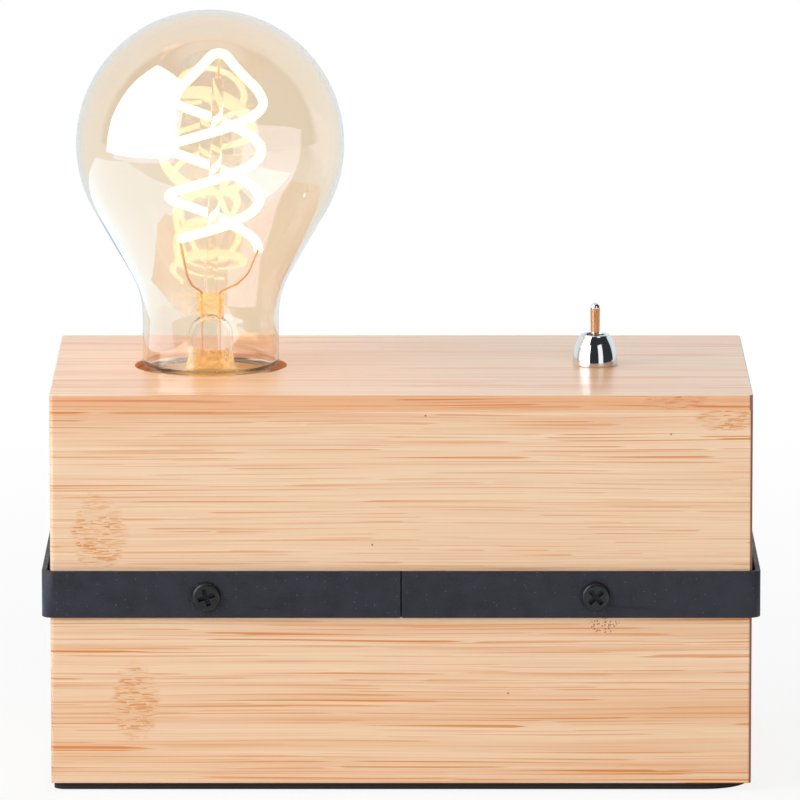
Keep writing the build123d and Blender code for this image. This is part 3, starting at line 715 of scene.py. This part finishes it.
def makeRawWood(name, wood):
    material, tree, shader = newMaterial(name, Roughness=rawSurface["roughness"])
    grain = scaled(tree, objectPoint(tree), 1 / mm)
    mask = useGroup(tree, streakGroup, Grain=grain, **wood["grain"])[0]
    feed(tree, shader.inputs["Base Color"], mixColour(tree, mask, wood["colour"], wood["streak"]))
    addBump(tree, shader, mask, rawSurface["bump"], rawSurface["bumpDepth"])
    return material


for name, wood in rawWoods.items():
    dress(makeRawWood(name, wood), wood["piece"])


# metals, mouldings, rubber and paint; size is that of the fine texture, in metres

finishes = {
    "zincSteel": {
        "pieces": (
            "floor_screws", "holder_bridge", "bridge_screws", "holder_nipple", "nipple_nut",
            "switch_pin", "switch_washer", "switch_frame", "connector_grubs", "connector_screw",
        ),
        "colour": rgb(205, 206, 208),
        "shade": 0.12, "roughness": 0.34, "uneven": 0.2, "size": 0.0012, "bump": 0.15, "metallic": 1.0,
    },
    "foamPad": {
        "pieces": ("foot_pad",),
        "colour": rgb(32, 26, 26),
        "shade": 0.5, "roughness": 0.9, "uneven": 0.1, "size": 0.0005, "bump": 0.8,
    },
    "nickelWire": {
        "pieces": ("bulb_leads", "bulb_hook"),
        "colour": rgb(232, 190, 134),
        "shade": 0.2, "roughness": 0.4, "uneven": 0.2, "size": 0.0006, "bump": 0.1, "metallic": 0.4,
    },
    "nickelCap": {
        "pieces": ("bulb_cap",),
        "colour": rgb(236, 237, 240),
        "shade": 0.1, "roughness": 0.4, "uneven": 0.15, "size": 0.002, "bump": 0.1, "metallic": 0.6,
    },
    "blackInsulator": {
        "pieces": ("bulb_insulator",),
        "colour": rgb(34, 34, 38),
        "shade": 0.2, "roughness": 0.2, "uneven": 0.1, "size": 0.002, "bump": 0.1,
    },
    "dullSolder": {
        "pieces": ("bulb_button",),
        "colour": rgb(180, 180, 182),
        "shade": 0.2, "roughness": 0.45, "uneven": 0.3, "size": 0.0012, "bump": 0.5, "metallic": 1.0,
    },
    "blackMoulding": {
        "pieces": ("holder_body", "gland_ring"),
        "colour": rgb(36, 35, 35),
        "shade": 0.15, "roughness": 0.35, "uneven": 0.15, "size": 0.0015, "bump": 0.2,
    },
    "whitePorcelain": {
        "pieces": ("holder_insert",),
        "colour": rgb(236, 233, 226),
        "shade": 0.04, "roughness": 0.18, "uneven": 0.1, "size": 0.003, "bump": 0.1,
    },
    "plainBrass": {
        "pieces": ("holder_shell", "holder_contact", "holder_posts"),
        "colour": rgb(222, 186, 112),
        "shade": 0.12, "roughness": 0.3, "uneven": 0.2, "size": 0.0015, "bump": 0.15, "metallic": 1.0,
    },
    "blueMoulding": {
        "pieces": ("switch_body",),
        "colour": rgb(60, 96, 160),
        "shade": 0.1, "roughness": 0.5, "uneven": 0.1, "size": 0.0008, "bump": 0.2,
    },
    "silverContact": {
        "pieces": ("switch_terminals", "switch_rocker"),
        "colour": rgb(228, 226, 220),
        "shade": 0.1, "roughness": 0.3, "uneven": 0.2, "size": 0.001, "bump": 0.15, "metallic": 1.0,
    },
    "whiteNylon": {
        "pieces": ("switch_plunger", "connector_block"),
        "colour": rgb(234, 233, 228),
        "shade": 0.05, "roughness": 0.5, "uneven": 0.1, "size": 0.001, "bump": 0.2,
    },
    "blackRubber": {
        "pieces": ("cord_gland",),
        "colour": rgb(28, 27, 27),
        "shade": 0.3, "roughness": 0.75, "uneven": 0.15, "size": 0.0008, "bump": 0.4,
    },
}
wireSleeve = {"shade": 0.1, "roughness": 0.4, "uneven": 0.1, "size": 0.001, "bump": 0.1}
sleeveColours = {
    "neutral_lead": rgb(60, 110, 190),
    "switched_lead": rgb(38, 36, 36),
    "live_lead": rgb(104, 66, 40),
}


def makeFinish(name, finish):
    material, tree, shader = newMaterial(name, Metallic=finish.get("metallic", 0.0))
    look = useGroup(
        tree,
        finishGroup,
        Colour=finish["colour"],
        Shade=finish["shade"],
        Roughness=finish["roughness"],
        Uneven=finish["uneven"],
        Size=finish["size"],
    )
    feed(tree, shader.inputs["Base Color"], look["Colour"])
    feed(tree, shader.inputs["Roughness"], look["Roughness"])
    addBump(tree, shader, look["Height"], finish["bump"], finish["size"] * surface["bumpDepth"])
    return material, tree, shader


for name, finish in finishes.items():
    dress(makeFinish(name, finish)[0], *finish["pieces"])
for name, colour in sleeveColours.items():
    dress(makeFinish("sleeve_" + name, {**wireSleeve, "colour": colour})[0], name)

strapCoat = {
    "colour": rgb(38, 36, 46),
    "shade": 1.1, "roughness": 0.5, "uneven": 0.5, "size": 0.0004, "bump": 1.0,
    "gloss": 0.3,
    "speck": rgb(104, 104, 116),
    "specks": {"Cell": 0.0022, "Radius": 0.00011, "Share": 0.3},
    "softEdge": 0.00018,
}


def makeStrapPaint():
    # fine powder coat with a few bright specks
    material, tree, shader = makeFinish("strapPowderCoat", strapCoat)
    shader.inputs["Specular IOR Level"].default_value = strapCoat["gloss"]
    x, y, z = splitVector(tree, objectPoint(tree))
    around = joinVector(tree, mathNode(tree, "ADD", x, y), z, 0.0)
    specks = useGroup(tree, dotGroup, Grain=around, **strapCoat["specks"])[0]
    paintOver(tree, shader, specks, strapCoat["speck"])
    return material


dress(makeStrapPaint(), "strap")
soften("strap", strapCoat["softEdge"])

strapScrew = {
    "colour": rgb(36, 35, 35),
    "shade": 0.25, "roughness": 0.3, "uneven": 0.2, "size": 0.0006, "bump": 0.25, "metallic": 0.5,
    "recessShade": rgb(10, 10, 10),
    "recessReach": 0.0021,
    "recessDepth": (0.00008, 0.0004),
    "headRadius": 0.00315,
    "softEdge": 0.00016,
}


def makeScrewBlack():
    # blackened steel, with painted shade down in the cross
    material, tree, shader = makeFinish("screwBlack", strapScrew)
    low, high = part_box("strap_screws")
    x, y, z = splitVector(tree, objectPoint(tree))
    aside = minus(tree, unsigned(tree, x), high.x - strapScrew["headRadius"])
    above = minus(tree, z, (low.z + high.z) / 2)
    inside = mathNode(tree, "LESS_THAN", lengthOf(tree, aside, above), strapScrew["recessReach"])
    sunk = mapRange(tree, minus(tree, y, low.y), *strapScrew["recessDepth"])
    # painted shade in the cross recess
    paintOver(tree, shader, times(tree, inside, sunk), strapScrew["recessShade"])
    return material


dress(makeScrewBlack(), "strap_screws")
soften("strap_screws", strapScrew["softEdge"])
print("metal and moulded pieces done")


# toggle: polished dome and lever

chromePlate = {
    "colour": rgb(226, 227, 230),
    "shade": 0.03, "roughness": 0.06, "uneven": 0.05, "size": 0.004, "bump": 0.02, "metallic": 1.0,
}
chrome = makeFinish("brightChrome", chromePlate)[0]
dress(chrome, "switch_bushing")

lever = {
    # colour: chrome tinted warm, a painted reflection of the wood lid
    "colour": rgb(224, 190, 162),
    "shade": 0.03, "roughness": 0.06, "uneven": 0.02, "size": 0.004, "bump": 0.005, "metallic": 1.0,
    "tip": rgb(232, 232, 234),
    "tipLength": 0.0011,
}


def makeLever():
    # chrome shaft tinted warm as a painted reflection of the wood lid, with a plain chrome tip
    material, tree, shader = makeFinish("leverPaintedReflection", lever)
    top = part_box("switch_lever")[1].z - lever["tipLength"]
    plainTip = mathNode(tree, "GREATER_THAN", splitVector(tree, objectPoint(tree))[2], top)
    paintOver(tree, shader, plainTip, lever["tip"])
    return material


dress(makeLever(), "switch_lever")

dome = {
    "curveHeight": 0.0087,
    "mouth": 0.0024,
    "land": 0.0015,
    "lip": 0.0003,
    "footChamfer": 0.3,  # share of the lip
    "crownSetback": 0.7,
    "crownFrom": math.radians(40),
    "boreGap": 0.00005,
    "lipSteps": 5,
    "rows": 24,
    "steps": 96,
}


def makeDome():
    low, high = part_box("switch_dome")
    innerLow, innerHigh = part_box("switch_bushing")
    radius = (high.x - low.x) / 2
    height = high.z - low.z
    bore = (innerHigh.x - innerLow.x) / 2 + dome["boreGap"]
    lip = dome["lip"]
    chamfer = lip * dome["footChamfer"]
    profile = [(bore, low.z), (radius - lip, low.z), (radius - chamfer, low.z + chamfer)]
    for row in range(1, dome["rows"] + 1):
        rise = lip + (height - 2 * lip) * row / dome["rows"]
        profile.append((radius * math.sqrt(1 - (rise / dome["curveHeight"]) ** 2), low.z + rise))
    crown = profile[-1][0] - lip * dome["crownSetback"]
    lipZ = high.z - lip
    up = math.pi / 2
    profile += arcPoints((crown, lipZ), lip, dome["crownFrom"], up, dome["lipSteps"])
    profile += arcPoints((dome["mouth"] + lip, lipZ), lip, up, math.pi, dome["lipSteps"])
    landZ = high.z - dome["land"]
    profile += [(dome["mouth"], landZ), (bore, landZ), (bore, low.z)]
    points, faces = lathe(profile[::-1], (low + high) / 2, dome["steps"])
    newPiece("toggleDome", points, faces, chrome, "case", "bright_chrome", "switch_dome")


makeDome()
print("toggle done")


# bulb: tinted glass, clear stem and the lit filament

bulbGlass = {
    "colour": (1.0, 0.86, 0.71, 1.0),
    "ior": 1.9,
    "roughness": 0.0,
    "shoulder": math.radians(30),
    "neck": 0.0153,
    "neckBlend": 0.0195,
    "wall": 0.0008,
    "rimTurn": 0.0024,
    "rimSquash": 0.8,
    "rimBend": 0.98,  # share of a quarter turn
    "rimRadius": 0.0131,
    "tuckLength": 0.0044,
    "tuckRadius": 0.0124,
    "globeSteps": 64,
    "blendSteps": 20,
    "rimSteps": 12,
    "steps": 160,
}
smears = {"scale": 60.0, "range": (0.45, 0.75), "roughness": 0.03}


def clearGlass(name, colour, ior, roughness):
    # lamps shine straight through, so the glass casts no dark shadow
    material, tree, shader = newMaterial(name, Transmission_Weight=1.0, IOR=ior)
    smear = noise(tree, objectPoint(tree), smears["scale"], detail=3.0)
    smear = mapRange(tree, smear, *smears["range"], roughness, roughness + smears["roughness"])
    feed(tree, shader.inputs["Roughness"], smear)
    clear = addNode(tree, "ShaderNodeBsdfTransparent")
    clear.inputs["Color"].default_value = colour
    shader.inputs["Base Color"].default_value = colour
    shadow = addNode(tree, "ShaderNodeLightPath").outputs["Is Shadow Ray"]
    mixShaders(tree, shadow, shader.outputs[0], clear.outputs[0])
    return material, tree, shader


def glassWall(radius, middle, rimZ, inset):
    # globe, straight shoulder, concave blend, neck and the turn into the cap, from the top down
    part = bulbGlass
    slope = part["shoulder"]
    ball = radius - inset
    blend = part["neckBlend"] + inset
    neck = part["neck"] - inset
    profile = [(0.0, middle + ball)]
    profile += arcPoints((0.0, middle), ball, math.pi / 2, -slope, part["globeSteps"])[1:]
    touch = profile[-1]
    blendRadius = neck + blend * (1 - math.cos(slope))
    blendTop = touch[1] - (touch[0] - blendRadius) / math.tan(slope)
    blendLow = blendTop - blend * math.sin(slope)
    profile += arcPoints((neck + blend, blendLow), blend, math.pi - slope, math.pi, part["blendSteps"])
    turn = rimZ + (part["rimTurn"] + inset) * part["rimSquash"]
    end = part["rimRadius"] if inset == 0 else part["tuckRadius"] - inset
    fullPull = 1 - math.sqrt(1 - part["rimBend"] ** 2)
    for step in range(part["rimSteps"] + 1):
        share = step / part["rimSteps"]
        pull = 1 - math.sqrt(1 - (share * part["rimBend"]) ** 2)
        profile.append((neck - (neck - end) * pull / fullPull, turn - (turn - rimZ) * share))
    return profile


def makeGlass():
    part = bulbGlass
    low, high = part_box("bulb_glass")
    radius = (high.x - low.x) / 2
    middle = high.z - radius
    rimZ = low.z + part["tuckLength"]
    outside = glassWall(radius, middle, rimZ, 0.0)
    outside += [(part["tuckRadius"], rimZ), (part["tuckRadius"], low.z)]
    inside = glassWall(radius, middle, rimZ, part["wall"])
    inside.append((part["tuckRadius"] - part["wall"], low.z))
    points, faces = lathe(outside + inside[::-1], (low + high) / 2, part["steps"])
    material = clearGlass("amberGlass", part["colour"], part["ior"], part["roughness"])[0]
    newPiece("bulbGlass", points, faces, material, "bulb", "tinted_glass", "bulb_glass")


makeGlass()

stemGlass = {
    "clear": rgb(254, 252, 248),
    "gold": rgb(252, 226, 170),
    "ior": 1.3,
    "roughness": 0.01,
    "press": (0.0099, 0.0116, 0.0166),  # rise above the lid: where the gold starts, is full and ends
    "foot": (0.0012, 0.0046),
    "sparkle": 0.0011,
    "goldRange": (0.35, 0.6, 0.45, 1.0),
    "unlit": (0.0, 0.0, 0.0, 1.0),
    "lit": rgb(255, 224, 164),
    "litRange": (0.4, 0.65, 0.3, 1.0),
    "glow": 0.22,
    "bump": 1.0,
    "bumpDepth": 0.0009,
}


def makeStem():
    part = stemGlass
    material, tree, shader = clearGlass("stemGlass", part["clear"], part["ior"], part["roughness"])
    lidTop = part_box("top_board")[1].z
    point = objectPoint(tree)
    height = minus(tree, splitVector(tree, point)[2], lidTop)
    start, full, end = part["press"]
    press = mapRange(tree, height, start, full)
    press = times(tree, press, mathNode(tree, "LESS_THAN", height, end))
    golden = larger(tree, press, mapRange(tree, height, *part["foot"][::-1]))
    glint = noise(tree, point, 1 / part["sparkle"])
    shown = times(tree, golden, mapRange(tree, glint, *part["goldRange"]))
    feed(tree, shader.inputs["Base Color"], mixColour(tree, shown, part["clear"], part["gold"]))
    # painted glow: emission standing in for the filament's light caught in the golden glass
    caught = times(tree, golden, mapRange(tree, glint, *part["litRange"]))
    feed(tree, shader.inputs["Emission Color"], mixColour(tree, caught, part["unlit"], part["lit"]))
    shader.inputs["Emission Strength"].default_value = part["glow"]
    addBump(tree, shader, times(tree, glint, golden), part["bump"], part["bumpDepth"])
    return material


dress(makeStem(), "bulb_stem")

filament = {
    "base": (0.9, 0.62, 0.25, 1.0),
    "dim": (1.0, 0.78, 0.46, 1.0),
    "bright": (1.0, 0.84, 0.55, 1.0),
    "strength": 3.3,
    "roughness": 0.5,
    "grain": 900.0,
    "grainRange": (0.3, 0.7),
}


def makeFilament():
    material, tree, shader = newMaterial("glowingFilament", Roughness=filament["roughness"])
    speck = noise(tree, objectPoint(tree), filament["grain"], detail=1.0)
    speck = mapRange(tree, speck, *filament["grainRange"])
    feed(tree, shader.inputs["Emission Color"], mixColour(tree, speck, filament["dim"], filament["bright"]))
    shader.inputs["Emission Strength"].default_value = filament["strength"]
    shader.inputs["Base Color"].default_value = filament["base"]
    return material


dress(makeFilament(), "bulb_filament")
print("bulb done")


# stage: floor, world, lamps and camera

stage = {
    "white": (1.0, 1.0, 1.0, 1.0),
    "coolWhite": (0.85, 0.94, 1.0, 1.0),
    "floorSize": 9.0,
    "floorDrop": 0.0002,
    "floorColour": (0.86, 0.86, 0.86, 1.0),
    "floorRoughness": 0.9,
    "tableEnd": (0.3, 0.1),
    "shadowShare": 0.15,
    "shadowReach": (0.12, 0.5),
    "ambient": 0.22,
    "roomDim": 0.04,
    "backdrop": (0.2, 0.35),
    "ceiling": (0.88, 0.98),
}


def whiteSurround(tree):
    # camera and glass see plain white, and mirrors see it a little cool
    path = addNode(tree, "ShaderNodeLightPath").outputs
    seen = larger(tree, path["Is Camera Ray"], path["Is Transmission Ray"])
    mirrored = path["Is Glossy Ray"]
    return seen, mirrored, mixColour(tree, mirrored, stage["white"], stage["coolWhite"])


def makeFloor():
    half = stage["floorSize"] / 2
    corners = [(-half, -half, 0), (half, -half, 0), (half, half, 0), (-half, half, 0)]
    mesh = bpy.data.meshes.new("floor")
    mesh.from_pydata(corners, [], [(0, 1, 2, 3)])
    floor = bpy.data.objects.new("floor", mesh)
    floor.location.z = -stage["floorDrop"]
    scene.collection.objects.link(floor)
    material, tree, shader = newMaterial("paleFloor", Roughness=stage["floorRoughness"])
    shader.inputs["Base Color"].default_value = stage["floorColour"]
    seen, mirrored, tint = whiteSurround(tree)
    x, y = splitVector(tree, objectPoint(tree))[:2]
    # mirrored, the floor is bright at the left and behind, and dark at the right
    tableEnd = stage["tableEnd"]
    bright = larger(tree, mapRange(tree, x, *tableEnd), mapRange(tree, y, *tableEnd[::-1]))
    seen = larger(tree, seen, times(tree, mirrored, bright))
    plain = addNode(tree, "ShaderNodeEmission")
    feed(tree, plain.inputs["Color"], tint)
    # the lamp's shadow shows faintly and fades out
    share = mapRange(tree, lengthOf(tree, x, y), *stage["shadowReach"], 1 - stage["shadowShare"], 1.0)
    mixShaders(tree, times(tree, seen, share), shader.outputs[0], plain.outputs[0])
    mesh.materials.append(material)


def makeWorld():
    world = bpy.data.worlds.new("studio")
    scene.world = world
    world.use_nodes = True
    tree = world.node_tree
    background = tree.nodes["Background"]
    seen, mirrored, tint = whiteSurround(tree)
    way = splitVector(tree, addNode(tree, "ShaderNodeTexCoord").outputs["Generated"])
    # the backdrop behind the lamp is white, the room behind the camera is dim
    behind = mapRange(tree, way[1], *stage["backdrop"], stage["roomDim"], 1.0)
    behind = larger(tree, behind, mapRange(tree, way[2], *stage["ceiling"]))
    strength = larger(tree, seen, mixNumber(tree, mirrored, stage["ambient"], behind))
    feed(tree, background.inputs["Color"], tint)
    feed(tree, background.inputs["Strength"], strength)


aimPoint = (0.0, 0.0, 0.09)
# rays: the kinds of ray that see the lamp
lamps = {
    "leftSoftbox": {
        "place": (-1.0, -0.42, 0.62),
        "target": aimPoint,
        "size": (1.05, 1.0),
        "power": 9.0,
        "rays": ("diffuse",),
    },
    "leftCard": {
        "place": (-0.449, -0.194, 0.51),
        "target": (-0.043, 0.0, 0.51),
        "size": (0.56, 0.84),
        "power": 8.2,
        "rays": ("glossy",),
        "colour": (0.9, 0.95, 1.0),
    },
    "farCard": {
        "place": (-0.83, -1.25, 0.55),
        "target": (0.0, 0.0, 0.55),
        "size": (0.34, 1.1),
        "power": 3.4,
        "rays": ("glossy",),
    },
    "insideCard": {  # mirrored by the far wall of the glass
        "place": (-0.70, -0.38, 0.42),
        "target": (-0.043, 0.0, 0.42),
        "size": (0.9, 1.0),
        "power": 9.0,
        "rays": ("transmission",),
        "colour": (0.36, 0.5, 1.0),
    },
    "tableGlow": {
        "place": (-0.46, 0.05, 0.004),
        "target": (-0.46, 0.05, 1.0),
        "size": (0.68, 0.55),
        "power": 1.7,
        "rays": ("glossy",),
        "colour": (0.5, 0.78, 1.0),
    },
    "tableStrip": {
        "place": (0.22, -0.36, 0.004),
        "target": (0.22, -0.36, 1.0),
        "size": (0.3, 0.5),
        "power": 0.75,
        "rays": ("glossy",),
        "colour": (0.8, 0.92, 1.0),
    },
    "rightStrip": {
        "place": (1.03, -1.71, 0.7),
        "target": aimPoint,
        "size": (0.9, 1.4),
        "power": 4.4,
        "rays": ("diffuse", "glossy"),
    },
    "frontFill": {
        "place": (0.6, -2.4, 1.1),
        "target": aimPoint,
        "size": (1.8, 1.4),
        "power": 14.2,
        "rays": ("diffuse",),
    },
    "topFill": {
        "place": (0.0, 0.1, 1.5),
        "target": aimPoint,
        "size": (1.4, 1.2),
        "power": 7.9,
        "rays": ("diffuse",),
    },
}


def addLamp(name, place, target, size, power, rays, colour=(1.0, 1.0, 1.0)):
    data = bpy.data.lights.new(name, "AREA")
    data.shape = "RECTANGLE"
    data.size, data.size_y = size
    data.energy = power
    data.color = colour
    lamp = bpy.data.objects.new(name, data)
    lamp.location = place
    lamp.rotation_euler = (Vector(target) - Vector(place)).to_track_quat("-Z", "Y").to_euler()
    lamp.visible_camera = False
    lamp.visible_diffuse = "diffuse" in rays
    lamp.visible_glossy = "glossy" in rays
    lamp.visible_transmission = "transmission" in rays
    scene.collection.objects.link(lamp)


camera = {
    "focalPixels": 9794.0,
    "frame": 800.0,
    "sensor": 36.0,
    "distance": 2.2,
    "pitch": math.radians(9.11),
    "target": (-0.00025, 0.0, 0.08045),
    "clipEnd": 50.0,
}


def makeCamera():
    data = bpy.data.cameras.new("camera")
    data.sensor_width = camera["sensor"]
    data.lens = camera["focalPixels"] * camera["sensor"] / camera["frame"]
    data.clip_end = camera["clipEnd"]
    pitch = camera["pitch"]
    ahead = Vector((0, math.cos(pitch), -math.sin(pitch)))
    view = bpy.data.objects.new("camera", data)
    view.location = Vector(camera["target"]) - camera["distance"] * ahead
    view.rotation_euler = Euler((math.pi / 2 - pitch, 0, 0))
    scene.collection.objects.link(view)
    scene.camera = view


makeFloor()
makeWorld()
for name, lamp in lamps.items():
    addLamp(name, **lamp)
makeCamera()
print("stage done")
